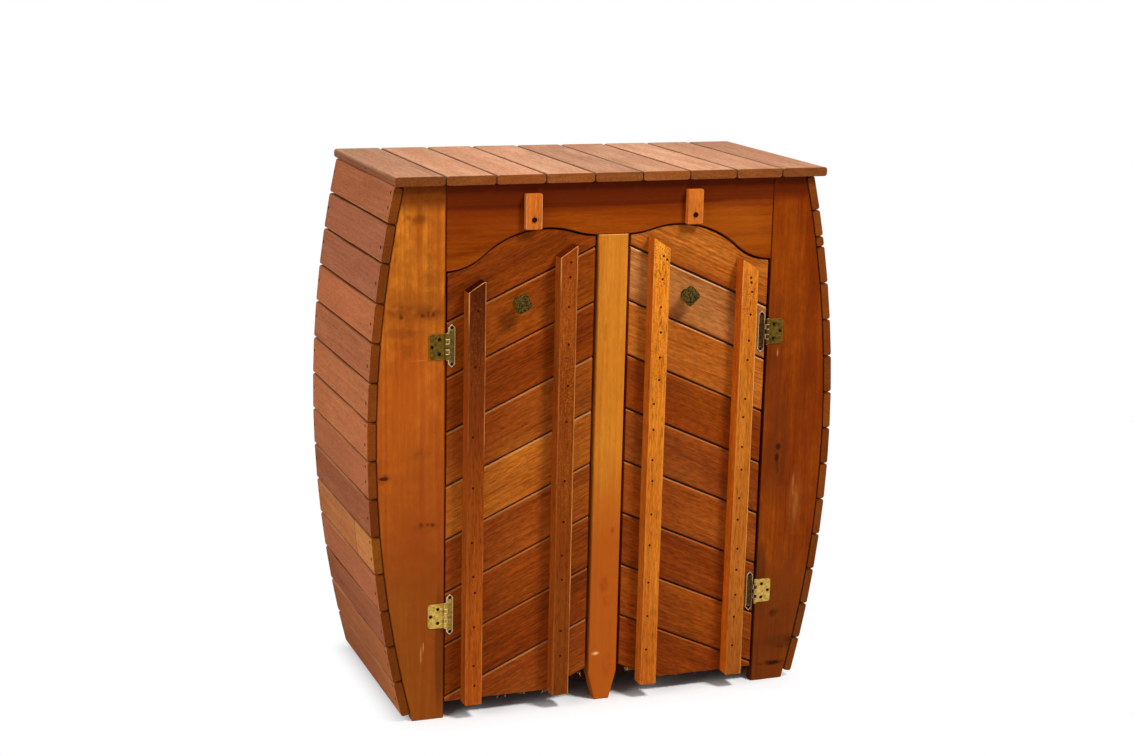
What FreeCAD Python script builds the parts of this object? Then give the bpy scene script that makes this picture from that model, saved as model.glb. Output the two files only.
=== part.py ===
"""Barrel-sided slatted cupboard with two chevron-boarded doors.

Two pairs of curved stiles stand on the floor.  Eased slats are nailed across
their curved edges to make the barrel sides, and nine boards laid front to back
make the top.  A rail with a double arch joins the front stiles, a post stands
under its middle, and each door is nine diagonal boards nailed to two battens.
Each door hangs on two butterfly hinges and is held shut by a turn button.

+X is to the right of someone facing the doors, +Y runs to the back and +Z is
up.  The origin is on the floor, under the middle of the whole cupboard.
All sizes are in millimetres.
"""
import FreeCAD, Part
import math
import os
from FreeCAD import Placement, Rotation, Vector

os.makedirs("parts", exist_ok=True)

# ---- overall frame ----
HEIGHT = 902.0            # floor to the top of the top boards
FRAME_DEPTH = 373.0       # front face of the stiles to the back of the frame
OPENING_W = 564.0         # between the two front stiles
FRAME_T = 20.0            # thickness of stiles, rails and post

# ---- curved stiles ----
STILE_MID_W = 113.0       # width of a stile where the barrel is widest
STILE_TOP_W = {"left": 68.0, "right": 58.0}      # width of a stile at its top end
BULGE_RISE = {"left": 31.5, "right": -1.5}       # widest place above mid-height
ARRIS = 1.4               # bevel of the worked edges of the frame

# ---- boards of the sides, the top, the doors, the back and the floor ----
BOARD_T = 15.0
EASE_R = 4.0              # rounding of a board's long edges on its outer face
SLAT_W = 62.0
SLAT_GAP = 1.3
SLAT_FOOT = 10.0          # lowest slat above the floor
SLAT_MIN_W = 12.0         # narrowest strip worth nailing on
ODD_SLATS = {"left": (58.0, 60.0), "right": (57.0, 44.0, 16.0)}  # widths from the top
BOARD_W = 81.0
TOP_GAP = 1.4
TOP_FRONT_LIP = 10.5      # top boards past the front of the frame
TOP_BACK_LIP = 7.0
TOP_SIDE_LIP = {"left": 2.5, "right": 18.0}      # top boards past the side slats

# ---- top rail with its double arch, and the post ----
CROWN_DROP = 72.5         # underside of the top down to the crown of an arch
POST_DROP = 86.0          # the same down to the level part over the post
STILE_DROP = 136.5        # the same down to the rail's ends
CROWN_X = 114.0           # crown of each arch from the middle
CROWN_R = 160.0
POST_W = 51.0
POST_TIP_W = 26.0
POST_TIP_H = 48.0         # height over which the post tapers
RAIL_LEVEL_MARGIN = 0.5   # level part of the rail past the post, each side

# ---- doors ----
DOOR_RECESS = 3.0         # door face behind the frame face
DOOR_HINGE_GAP = 3.0
DOOR_POST_GAP = 5.5
DOOR_TOP_GAP = 3.0
DOOR_FOOT = 28.0          # door above the floor
CHEVRON_SLOPE = 24.2      # degrees, rising towards the post
CHEVRON_TOP = 220.0       # underside of the top to the first joint, at the stile
DOOR_BOARD_GAP = 1.5

# ---- battens: centre from the door's edge, peak below the arch crown ----
BATTEN_W = 29.0
BATTEN_T = 26.0
BATTEN_EASE_R = 2.0
BATTEN_CUT = 33.0         # slope of the top cut in degrees
BATTEN_FOOT = 26.0        # battens above the floor
OUTER_BATTEN_IN = {"left": 42.0, "right": 43.0}
INNER_BATTEN_IN = {"left": 53.0, "right": 45.0}
OUTER_BATTEN_DROP = {"left": 76.0, "right": 60.0}
INNER_BATTEN_DROP = {"left": 26.0, "right": 18.0}

# ---- hinges ----
HINGE_RISE = {"left": 152.0, "right": 139.0}        # lower ones above the door's foot
HINGE_DROP = {"left": 183.5, "right": 187.5}        # upper ones below the arch crown
LEAF_T = 1.5
FRAME_LEAF_W = 28.0
FRAME_LEAF_H = 42.0
FRAME_LEAF_CORNER_R = 5.0
DOOR_LEAF_W = 11.0
DOOR_LEAF_H = 70.0
DOOR_LEAF_IN = 2.0        # door leaf's edge from the door's edge
KNUCKLE_R = 2.8
KNUCKLE_COUNT = 5
KNUCKLE_GAP = 0.35
PIN_R = 1.2
PIN_PLAY = 0.05           # radial, in the door leaf's knuckles
PIN_TIP = 1.2             # pin past the knuckles at each end
WOOD_CLEAR = 0.3          # moving metal or wood off what it passes
LEAF_HOLE_R = 2.4         # screw holes
DOOR_HOLE_IN = 5.5        # door leaf's holes from its points
FRAME_HOLE_IN = 9.0       # frame leaf's near pair from its upper and lower edges
FRAME_NEAR_HOLE = 11.0    # the pair's distance from the opening
FRAME_FAR_HOLE = 23.0     # the single hole's distance from the opening

# ---- turn buttons ----
BUTTON_W = 27.0
BUTTON_L = 57.0
BUTTON_T = 11.5
BUTTON_BEVEL = 1.2
BUTTON_SHORT_END = 16.0   # pivot to the near end
BUTTON_ABOVE_CROWN = 15.5
BUTTON_PAST_CROWN = {"left": 27.0, "right": 23.0}   # pivot outwards of the crown
BUTTON_OFF_RAIL = 0.5
PIVOT_R = 2.2
PIVOT_PLAY = 0.05
PIVOT_GRIP = 15.0         # screw's length in the rail
PIVOT_HEAD_R = 4.2
PIVOT_HEAD_H = 2.4
PIVOT_HEAD_RIM = 1.2      # upright rim under the head's bevel
PIVOT_HEAD_CLEAR = 0.2

# ---- knobs ----
KNOB_IN = {"left": 129.0, "right": 100.0}   # from the door's edge at the post
KNOB_DROP = 117.5         # below the arch crown
KNOB_TURN = {"left": 25.0, "right": 43.0}   # degrees, anticlockwise from the front
KNOB_SIDE = 26.5
KNOB_CORNER_R = 5.5
KNOB_HEAD_T = 6.0
KNOB_BEVEL = 2.2
KNOB_BOSS_R = 3.2
KNOB_BOSS_H = 1.5
KNOB_STEM_R = 5.0
KNOB_STUD_R = 2.0         # screwed end, in the door
KNOB_STUD_GRIP = 11.0
KNOB_FOOT_R = 8.5
KNOB_FOOT_T = 3.0
KNOB_REACH = 25.0         # door face to the front of the boss

# ---- inside and back ----
BACKING_W = 100.0         # strip behind the post, which the doors close against
BACKING_FOOT = 34.0
BEARER_T = 18.0
BEARER_H = 30.0
BEARER_FOOT = 32.0        # floor bearers above the ground
CLEAT_INSET = 18.0        # side cleats out from the edge of the opening
FLOOR_LAP = 30.0          # floor boards past the cleats' inner faces
FLOOR_COUNT = 4
FLOOR_GAP = 1.5
BACK_COUNT = 8
BACK_LAP = 47.0           # back boards past the edge of the opening
BACK_GAP = 1.5
BACK_RAIL_H = 60.0

# ---- places worked out from the sizes above ----
UNDER_TOP = HEIGHT - BOARD_T
HALF_OPENING = OPENING_W / 2
FRONT_REACH = max(KNOB_REACH, BATTEN_T) - DOOR_RECESS
BACK_REACH = FRAME_DEPTH + TOP_BACK_LIP
FACE_Y = (FRONT_REACH - BACK_REACH) / 2       # front face of the frame
BACK_Y = FACE_Y + FRAME_DEPTH                 # back face of the frame
DOOR_Y = FACE_Y + DOOR_RECESS                 # front face of the doors
BACKING_Y = FACE_Y + FRAME_T
BEARER_Y = BACKING_Y + BOARD_T
BACK_BOARD_Y = BACK_Y - FRAME_T - BOARD_T
CROWN_Z = UNDER_TOP - CROWN_DROP
POST_Z = UNDER_TOP - POST_DROP
RAIL_END_Z = UNDER_TOP - STILE_DROP
LEVEL_X = POST_W / 2 + RAIL_LEVEL_MARGIN
FLOOR_Z = BEARER_FOOT + BEARER_H
SIDES = {"left": -1, "right": 1}
bulge_z = {name: UNDER_TOP / 2 + BULGE_RISE[name] for name in SIDES}
door_in = POST_W / 2 + DOOR_POST_GAP
door_out = HALF_OPENING - DOOR_HINGE_GAP
pivot_x = {name: SIDES[name] * (CROWN_X + BUTTON_PAST_CROWN[name]) for name in SIDES}
pivot_z = CROWN_Z + BUTTON_ABOVE_CROWN
knob_x = {name: SIDES[name] * (door_in + KNOB_IN[name]) for name in SIDES}
knob_z = CROWN_Z - KNOB_DROP


def side_curve(name):
    """One side's arc, through the stile's top corner and widest at bulge_z.

    Gives its radius, and its centre's distance from the middle.
    """
    rise = UNDER_TOP - bulge_z[name]
    sag = STILE_MID_W - STILE_TOP_W[name]
    radius = (rise ** 2 + sag ** 2) / (2 * sag)
    return radius, HALF_OPENING + STILE_MID_W - radius


def arc_edge_x(name, z, extra=0.0):
    """Distance from the middle to one side's curve at height z."""
    radius, centre_x = side_curve(name)
    return centre_x + math.sqrt((radius + extra) ** 2 - (z - bulge_z[name]) ** 2)


def save(name, *solids):
    """Write one node as a STEP file, from one solid or several."""
    shape = solids[0] if len(solids) == 1 else Part.makeCompound(list(solids))
    shape.exportStep("parts/" + name + ".step")


def box(x0, x1, y0, y1, z0, z1):
    return Part.makeBox(x1 - x0, y1 - y0, z1 - z0, Vector(x0, y0, z0))


def flip(points, side):
    """Mirror (x, z) points to the left side when side is -1."""
    return [(side * x, z) for x, z in points]


def arc(start, middle, end):
    """An arc in the XZ plane through three (x, z) points."""
    points = [Vector(x, 0, z) for x, z in (start, middle, end)]
    return Part.Arc(*points).toShape()


def line(start, end):
    return Part.makeLine(Vector(start[0], 0, start[1]), Vector(end[0], 0, end[1]))


def slab(edges, y0, y1):
    """A solid with the closed outline of edges in XZ, from y0 to y1."""
    face = Part.Face(Part.Wire(Part.__sortEdges__(edges)))
    face.translate(Vector(0, y0, 0))
    return face.extrude(Vector(0, y1 - y0, 0))


def polygon(points):
    return [line(a, b) for a, b in zip(points, points[1:] + points[:1])]


def eased_section(width, thick, ease):
    """A rectangular face in XY, centred, its two corners on +Y rounded."""
    w, h = width / 2, thick / 2
    cut = ease * (1 - math.sqrt(0.5))
    right = [Vector(w, h - ease, 0), Vector(w - cut, h - cut, 0), Vector(w - ease, h, 0)]
    left = [Vector(-p.x, p.y, 0) for p in right[::-1]]
    flats = [(right[2], left[0]), (left[2], Vector(-w, -h, 0)),
             (Vector(-w, -h, 0), Vector(w, -h, 0)), (Vector(w, -h, 0), right[0])]
    edges = [Part.Arc(*points).toShape() for points in (right, left)]
    edges += [Part.makeLine(a, b) for a, b in flats]
    return Part.Face(Part.Wire(Part.__sortEdges__(edges)))


def board(width, length, start, along, outward, thick=BOARD_T, ease=EASE_R):
    """A board eased on its outer face: start is the middle of its first end."""
    solid = eased_section(width, thick, ease).extrude(Vector(0, 0, length))
    across = outward.cross(along)
    solid.Placement = Placement(start, Rotation(across, outward, along, "ZXY"))
    return solid


def bore(x, y, z, radius, depth):
    """A hole's core, running back from its mouth at (x, y, z)."""
    return Part.makeCylinder(radius, depth, Vector(x, y, z), Vector(0, 1, 0))


def turned(x, y, z, profile):
    """A solid turned about a line along Y, from its (radius, depth) profile."""
    points = [Vector(radius, depth, 0) for radius, depth in profile]
    wire = Part.makePolygon(points + points[:1])
    solid = Part.Face(wire).revolve(Vector(0, 0, 0), Vector(0, 1, 0), 360)
    solid.translate(Vector(x, y, z))
    return solid


def edges_at(solid, y):
    """Every edge of the solid that lies in the plane at y."""
    return [e for e in solid.Edges
            if all(abs(v.Point.y - y) < 1e-6 for v in e.Vertexes)]


def bevel_front(solid, y, size):
    return solid.makeChamfer(size, edges_at(solid, y))


# ---- stiles: four planks sawn to the same curve ----
def stile(name, y0, y1, worked_y):
    """One curved stile, square to the opening inside and arched outside."""
    foot_x = arc_edge_x(name, 0)
    top_x = HALF_OPENING + STILE_TOP_W[name]
    bulge = (HALF_OPENING + STILE_MID_W, bulge_z[name])
    inner_foot, outer_foot = (HALF_OPENING, 0), (foot_x, 0)
    inner_top, outer_top = (HALF_OPENING, UNDER_TOP), (top_x, UNDER_TOP)
    a, b, c = flip([outer_foot, bulge, outer_top], SIDES[name])
    d, e = flip([inner_top, inner_foot], SIDES[name])
    solid = slab([arc(a, b, c), line(c, d), line(d, e), line(e, a)], y0, y1)
    return bevel_front(solid, worked_y, ARRIS)


for name in SIDES:
    save("front_" + name + "_stile", stile(name, FACE_Y, FACE_Y + FRAME_T, FACE_Y))
    save("back_" + name + "_stile", stile(name, BACK_Y - FRAME_T, BACK_Y, BACK_Y))


# ---- barrel sides: eased slats laid flat on the curved edges ----
def slat_top_angle(name, width):
    """Angle of the first slat's upper edge, its outer corner under the top."""
    radius = side_curve(name)[0]
    reach = UNDER_TOP - WOOD_CLEAR - bulge_z[name]
    half, face_r = width / 2, radius + BOARD_T
    middle = math.asin(reach / math.hypot(face_r, half)) - math.atan2(half, face_r)
    return middle + half / radius


def slat_widths(name):
    """Widths down one side: the odd ones, full ones, then a ripped last one."""
    radius, odd = side_curve(name)[0], ODD_SLATS[name]
    first = slat_top_angle(name, odd[0])
    last = math.asin((SLAT_FOOT - bulge_z[name]) / (radius + BOARD_T))
    room = (first - last) * radius
    widths = []
    while room > SLAT_MIN_W:
        wanted = odd[len(widths)] if len(widths) < len(odd) else SLAT_W
        widths.append(min(wanted, room))
        room -= widths[-1] + SLAT_GAP
    return widths


def side_slats(name):
    """The slats of one side, each flat against the stiles at its middle."""
    side = SIDES[name]
    radius, centre_x = side_curve(name)
    centre = Vector(side * centre_x, FACE_Y, bulge_z[name])
    widths = slat_widths(name)
    angle = slat_top_angle(name, widths[0])
    solids = []
    for width in widths:
        middle = angle - width / 2 / radius
        normal = Vector(side * math.cos(middle), 0, math.sin(middle))
        start = centre + normal * (radius + BOARD_T / 2)
        solids.append(board(width, FRAME_DEPTH, start, Vector(0, 1, 0), normal))
        angle -= (width + SLAT_GAP) / radius
    return solids


for name in SIDES:
    save(name + "_side_slats", *side_slats(name))


# ---- top: boards laid front to back ----
top_left, top_right = [
    SIDES[name] * (arc_edge_x(name, UNDER_TOP, BOARD_T) + TOP_SIDE_LIP[name])
    for name in ("left", "right")]
top_count = round((top_right - top_left + TOP_GAP) / (BOARD_W + TOP_GAP))
top_w = (top_right - top_left + TOP_GAP) / top_count - TOP_GAP
for i in range(top_count):
    x = top_left + top_w / 2 + i * (top_w + TOP_GAP)
    length = TOP_FRONT_LIP + FRAME_DEPTH + TOP_BACK_LIP
    start = Vector(x, FACE_Y - TOP_FRONT_LIP, UNDER_TOP + BOARD_T / 2)
    solid = board(top_w, length, start, Vector(0, 1, 0), Vector(0, 0, 1))
    save("top_board_%d" % (i + 1), solid)


# ---- top rail: a plank sawn to two arches, level over the post ----
def tangent_arcs(crown, foot, crown_r, offset=0.0):
    """Two arcs from a level crown to a level foot, meeting in a tangent.

    The crown's arc has its centre below it and the foot's has its centre
    above it.  An offset lowers both arcs by the same clearance.
    """
    dx, dz = foot[0] - crown[0], crown[1] - foot[1]
    turn = 2 * math.atan2(dz, abs(dx))
    foot_r = abs(dx) / math.sin(turn) - crown_r
    way = math.copysign(1, dx)
    low = (crown[0], crown[1] - crown_r)
    high = (foot[0], foot[1] + foot_r)

    def on_crown(angle):
        r = crown_r - offset
        return (low[0] + way * r * math.sin(angle), low[1] + r * math.cos(angle))

    def on_foot(angle):
        r = foot_r + offset
        return (high[0] - way * r * math.sin(angle), high[1] - r * math.cos(angle))

    first = [on_crown(0), on_crown(turn / 2), on_crown(turn)]
    second = [on_foot(turn), on_foot(turn / 2), on_foot(0)]
    return first, second


def arch_edges(offset=0.0):
    """The arch from the rail's end to its level middle, for the right side."""
    crown = (CROWN_X, CROWN_Z)
    outer = tangent_arcs(crown, (HALF_OPENING, RAIL_END_Z), CROWN_R, offset)
    inner = tangent_arcs(crown, (LEVEL_X, POST_Z), CROWN_R, offset)
    return [outer[1][::-1], outer[0][::-1], inner[0], inner[1]]


rail_edges = []
for side in SIDES.values():
    rail_edges += [arc(*flip(points, side)) for points in arch_edges()]
    end, top = (HALF_OPENING, RAIL_END_Z), (HALF_OPENING, UNDER_TOP)
    rail_edges.append(line(*flip([end, top], side)))
rail_edges.append(line((-LEVEL_X, POST_Z), (LEVEL_X, POST_Z)))
rail_edges.append(line((-HALF_OPENING, UNDER_TOP), (HALF_OPENING, UNDER_TOP)))
rail = slab(rail_edges, FACE_Y, FACE_Y + FRAME_T)
rail = bevel_front(rail, FACE_Y, ARRIS)
for x in pivot_x.values():
    rail = rail.cut(bore(x, FACE_Y, pivot_z, PIVOT_R, PIVOT_GRIP))
save("top_rail", rail)

# ---- post: stands under the rail, its foot cut to a blunt tip ----
post = slab(polygon([
    (-POST_W / 2, POST_Z), (POST_W / 2, POST_Z), (POST_W / 2, POST_TIP_H),
    (POST_TIP_W / 2, 0), (-POST_TIP_W / 2, 0), (-POST_W / 2, POST_TIP_H),
]), FACE_Y, FACE_Y + FRAME_T)
save("centre_post", bevel_front(post, FACE_Y, ARRIS))

# ---- inside: what carries the post, stops the doors and holds the floor ----
half_backing = BACKING_W / 2
save("post_backing", box(-half_backing, half_backing, BACKING_Y, BEARER_Y,
                         BACKING_FOOT, UNDER_TOP))
cleat_x = HALF_OPENING + CLEAT_INSET
save("floor_front_bearer", box(-cleat_x, cleat_x, BEARER_Y, BEARER_Y + BEARER_T,
                               BEARER_FOOT, FLOOR_Z))
cleats = []
for side in SIDES.values():
    inner, outer = sorted((side * cleat_x, side * (cleat_x + BEARER_T)))
    cleats.append(box(inner, outer, BACKING_Y, BACK_BOARD_Y, BEARER_FOOT, FLOOR_Z))
save("floor_cleats", *cleats)

floor_pitch = (BACK_BOARD_Y - BEARER_Y + FLOOR_GAP) / FLOOR_COUNT
floor_half = cleat_x + FLOOR_LAP
floor_boards = []
for i in range(FLOOR_COUNT):
    y = BEARER_Y + i * floor_pitch
    floor_boards.append(box(-floor_half, floor_half, y, y + floor_pitch - FLOOR_GAP,
                            FLOOR_Z, FLOOR_Z + BOARD_T))
save("floor_boards", *floor_boards)

back_half = HALF_OPENING + BACK_LAP
back_pitch = (2 * back_half + BACK_GAP) / BACK_COUNT
back_boards = []
for i in range(BACK_COUNT):
    x = i * back_pitch - back_half
    back_boards.append(box(x, x + back_pitch - BACK_GAP, BACK_BOARD_Y,
                           BACK_BOARD_Y + BOARD_T, BEARER_FOOT, UNDER_TOP))
save("back_boards", *back_boards)
for name, low in (("back_top_rail", UNDER_TOP - BACK_RAIL_H),
                  ("back_bottom_rail", BEARER_FOOT)):
    save(name, box(-HALF_OPENING, HALF_OPENING, BACK_Y - FRAME_T, BACK_Y,
                   low, low + BACK_RAIL_H))

# ---- doors: boards on a slope, cut to the door's outline ----
slope = math.radians(CHEVRON_SLOPE)
board_pitch = BOARD_W + DOOR_BOARD_GAP


def door_blank(name):
    """A block with the door's outline, bored for its knob."""
    side = SIDES[name]
    arches = arch_edges(DOOR_TOP_GAP)
    top = [arc(*flip(points, side)) for points in arches]
    end, middle = arches[0][0], arches[-1][-1]
    low_out, low_in = (end[0], DOOR_FOOT), (middle[0], DOOR_FOOT)
    rest = [line(*flip([end, low_out], side)),
            line(*flip([low_out, low_in], side)),
            line(*flip([low_in, middle], side))]
    blank = slab(top + rest, DOOR_Y, DOOR_Y + BOARD_T)
    inner, outer = sorted((side * door_in, side * door_out))
    blank = blank.common(box(inner, outer, DOOR_Y, DOOR_Y + BOARD_T,
                             DOOR_FOOT, UNDER_TOP))
    return blank.cut(bore(knob_x[name], DOOR_Y, knob_z, KNOB_STUD_R, KNOB_STUD_GRIP))


def door_boards(name):
    """The boards from the arch down, each eased and cut to the outline.

    The last one is the last whose upper edge meets the hinge side, so the
    door's lower corner at the post stays open below it.
    """
    side = SIDES[name]
    blank = door_blank(name)
    along = Vector(-side * math.cos(slope), 0, math.sin(slope))
    across = Vector(side * math.sin(slope), 0, math.cos(slope))
    outward = Vector(0, -1, 0)
    joint = Vector(side * HALF_OPENING, DOOR_Y + BOARD_T / 2, UNDER_TOP - CHEVRON_TOP)
    length = 2 * (HALF_OPENING + BOARD_W) / math.cos(slope)
    drop = board_pitch / math.cos(slope)
    count = 1 + math.ceil((joint.z - DOOR_FOOT) / drop)
    boards = []
    for i in range(count):
        middle = joint + across * (board_pitch / 2 - i * board_pitch)
        start = middle - along * (length / 2)
        plank = board(BOARD_W, length, start, along, outward)
        boards.append(plank.common(blank).Solids[0])
    return boards


for name in SIDES:
    for i, solid in enumerate(door_boards(name)):
        save("%s_door_board_%d" % (name, i + 1), solid)


# ---- battens: square bars nailed down each door, cut on a slope at the top ----
def batten(side, x, peak):
    """A batten with its highest corner towards the post."""
    half = BATTEN_W / 2
    start = Vector(side * x, DOOR_Y - BATTEN_T / 2, BATTEN_FOOT)
    bar = board(BATTEN_W, peak - BATTEN_FOOT, start, Vector(0, 0, 1),
                Vector(0, -1, 0), BATTEN_T, BATTEN_EASE_R)
    fall = BATTEN_W * math.tan(math.radians(BATTEN_CUT))
    keep = [(x - half, BATTEN_FOOT), (x + half, BATTEN_FOOT),
            (x + half, peak - fall), (x - half, peak)]
    return bar.common(slab(polygon(flip(keep, side)), DOOR_Y - BATTEN_T, DOOR_Y))


for name, side in SIDES.items():
    outer_x = door_out - OUTER_BATTEN_IN[name]
    inner_x = door_in + INNER_BATTEN_IN[name]
    outer_peak = CROWN_Z - OUTER_BATTEN_DROP[name]
    inner_peak = CROWN_Z - INNER_BATTEN_DROP[name]
    save(name + "_door_outer_batten", batten(side, outer_x, outer_peak))
    save(name + "_door_inner_batten", batten(side, inner_x, inner_peak))

# ---- hinges: a plate on the stile, a pointed strip on the door, one pin ----
def drill(leaf, places, face_y):
    """The leaf with a screw hole at each (x, z) place."""
    for x, z in places:
        leaf = leaf.cut(bore(x, face_y - LEAF_T, z, LEAF_HOLE_R, LEAF_T))
    return leaf


axis_x = HALF_OPENING - DOOR_HINGE_GAP / 2
axis_y = FACE_Y - KNUCKLE_R - WOOD_CLEAR
knuckle_pitch = FRAME_LEAF_H / KNUCKLE_COUNT


def knuckle_spans(first):
    """The heights of every other knuckle, from the plate's lower edge."""
    spans = []
    for i in range(first, KNUCKLE_COUNT, 2):
        low = i * knuckle_pitch + (KNUCKLE_GAP / 2 if i > 0 else 0)
        last = i == KNUCKLE_COUNT - 1
        high = (i + 1) * knuckle_pitch - (0 if last else KNUCKLE_GAP / 2)
        spans.append((low, high))
    return spans


def tube(side, low, high, radius):
    foot = Vector(side * axis_x, axis_y, low)
    return Part.makeCylinder(radius, high - low, foot)


def frame_leaf(name, middle_z):
    """The plate on the stile, with the odd knuckles and three screw holes."""
    side = SIDES[name]
    low, high = middle_z - FRAME_LEAF_H / 2, middle_z + FRAME_LEAF_H / 2
    far = side * (HALF_OPENING + FRAME_LEAF_W)
    x0, x1 = sorted((side * axis_x, far))
    plate = box(x0, x1, FACE_Y - LEAF_T, FACE_Y, low, high)
    corners = [e for e in plate.Edges
               if all(abs(v.Point.x - far) < 1e-6 for v in e.Vertexes)
               and abs(e.Vertexes[0].Point.z - e.Vertexes[1].Point.z) < 1e-6]
    plate = plate.makeFillet(FRAME_LEAF_CORNER_R, corners)
    clear_x = side * (axis_x + KNUCKLE_R + WOOD_CLEAR)
    x0, x1 = sorted((side * axis_x, clear_x))
    for span in knuckle_spans(1):
        plate = plate.cut(box(x0, x1, FACE_Y - LEAF_T, FACE_Y,
                              low + span[0] - KNUCKLE_GAP, low + span[1] + KNUCKLE_GAP))
    for span in knuckle_spans(0):
        plate = plate.fuse(tube(side, low + span[0], low + span[1], KNUCKLE_R))
    plate = plate.cut(tube(side, low, high, PIN_R))
    near, far = HALF_OPENING + FRAME_NEAR_HOLE, HALF_OPENING + FRAME_FAR_HOLE
    rise = FRAME_LEAF_H / 2 - FRAME_HOLE_IN
    holes = [(near, middle_z + rise), (near, middle_z - rise), (far, middle_z)]
    return drill(plate, flip(holes, side), FACE_Y).removeSplitter()


def door_leaf(name, middle_z):
    """The pointed strip on the door, with the even knuckles and two holes."""
    side = SIDES[name]
    near = door_out - DOOR_LEAF_IN
    far = near - DOOR_LEAF_W
    low, high = middle_z - DOOR_LEAF_H / 2, middle_z + DOOR_LEAF_H / 2
    mid_x, point = (near + far) / 2, DOOR_LEAF_W / 2
    outline = [(near, low + point), (near, high - point), (mid_x, high),
               (far, high - point), (far, low + point), (mid_x, low)]
    strip_y = DOOR_Y - LEAF_T
    leaf = slab(polygon(flip(outline, side)), strip_y, DOOR_Y)
    base = middle_z - FRAME_LEAF_H / 2
    web_near, web_far = axis_x - KNUCKLE_R + LEAF_T / 2, axis_x - KNUCKLE_R - LEAF_T / 2
    for span in knuckle_spans(1):
        z0, z1 = base + span[0], base + span[1]
        x0, x1 = sorted((side * web_near, side * web_far))
        leaf = leaf.fuse(tube(side, z0, z1, KNUCKLE_R))
        leaf = leaf.fuse(box(x0, x1, axis_y, DOOR_Y, z0, z1))
        x0, x1 = sorted((side * web_near, side * mid_x))
        leaf = leaf.fuse(box(x0, x1, strip_y, DOOR_Y, z0, z1))
    leaf = leaf.cut(tube(side, low, high, PIN_R + PIN_PLAY))
    rise = DOOR_LEAF_H / 2 - DOOR_HOLE_IN
    holes = [(mid_x, middle_z + rise), (mid_x, middle_z - rise)]
    return drill(leaf, flip(holes, side), DOOR_Y).removeSplitter()


def hinge_pin(side, middle_z):
    """The pin through all the knuckles, past them at each end."""
    half = FRAME_LEAF_H / 2 + PIN_TIP
    return tube(side, middle_z - half, middle_z + half, PIN_R)


pins = []
for name, side in SIDES.items():
    heights = DOOR_FOOT + HINGE_RISE[name], CROWN_Z - HINGE_DROP[name]
    save(name + "_hinge_frame_leaves", *[frame_leaf(name, z) for z in heights])
    save(name + "_hinge_door_leaves", *[door_leaf(name, z) for z in heights])
    pins += [hinge_pin(side, z) for z in heights]
save("hinge_pins", *pins)


# ---- turn buttons: stored upright on the rail, each on one screw ----
def turn_button(x):
    """A small block with its pivot hole near the lower end."""
    front = FACE_Y - BUTTON_OFF_RAIL - BUTTON_T
    low = pivot_z - BUTTON_SHORT_END
    block = box(x - BUTTON_W / 2, x + BUTTON_W / 2, front, front + BUTTON_T,
                low, low + BUTTON_L)
    block = bevel_front(block, front, BUTTON_BEVEL)
    return block.cut(bore(x, front, pivot_z, PIVOT_R + PIVOT_PLAY, BUTTON_T))


def pivot_screw(x):
    """A round-headed screw through the button into the rail."""
    under_head = -BUTTON_OFF_RAIL - BUTTON_T - PIVOT_HEAD_CLEAR
    rim, crown = under_head - PIVOT_HEAD_RIM, under_head - PIVOT_HEAD_H
    bevel_r = PIVOT_HEAD_R - (rim - crown)
    return turned(x, FACE_Y, pivot_z, [
        (0, crown), (bevel_r, crown), (PIVOT_HEAD_R, rim), (PIVOT_HEAD_R, under_head),
        (PIVOT_R, under_head), (PIVOT_R, PIVOT_GRIP), (0, PIVOT_GRIP)])


for name, x in pivot_x.items():
    save(name + "_turn_button", turn_button(x))
save("turn_button_screws", *[pivot_screw(x) for x in pivot_x.values()])


# ---- knobs: a cast rounded-square head with a boss, on a turned stem ----
def knob(x, turn):
    """A knob that stands on the door's face, its head turned on the stem."""
    head_back = KNOB_REACH - KNOB_BOSS_H - KNOB_HEAD_T
    stem = turned(x, DOOR_Y, knob_z, [
        (0, -head_back), (KNOB_STEM_R, -head_back), (KNOB_STEM_R, -KNOB_FOOT_T),
        (KNOB_FOOT_R, -KNOB_FOOT_T), (KNOB_FOOT_R, 0), (KNOB_STUD_R, 0),
        (KNOB_STUD_R, KNOB_STUD_GRIP), (0, KNOB_STUD_GRIP)])
    half = KNOB_SIDE / 2
    head = box(-half, half, -KNOB_HEAD_T, 0, -half, half)
    head = head.makeFillet(KNOB_CORNER_R, [e for e in head.Edges
                                           if abs(e.tangentAt(0).y) > 0.5])
    head = bevel_front(head, -KNOB_HEAD_T, KNOB_BEVEL)
    boss = bore(0, -KNOB_HEAD_T - KNOB_BOSS_H, 0, KNOB_BOSS_R, KNOB_BOSS_H)
    head = head.fuse(boss)
    head.rotate(Vector(0, 0, 0), Vector(0, -1, 0), turn)
    head.translate(Vector(x, DOOR_Y - head_back, knob_z))
    return stem.fuse(head).removeSplitter()


for name in SIDES:
    save(name + "_door_knob", knob(knob_x[name], KNOB_TURN[name]))
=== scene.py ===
# A barrel-sided slatted cupboard with two chevron-boarded doors: its finish, and the pieces
# that give its solids their look.  Everything is in metres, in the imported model's own frame.
import math

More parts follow.
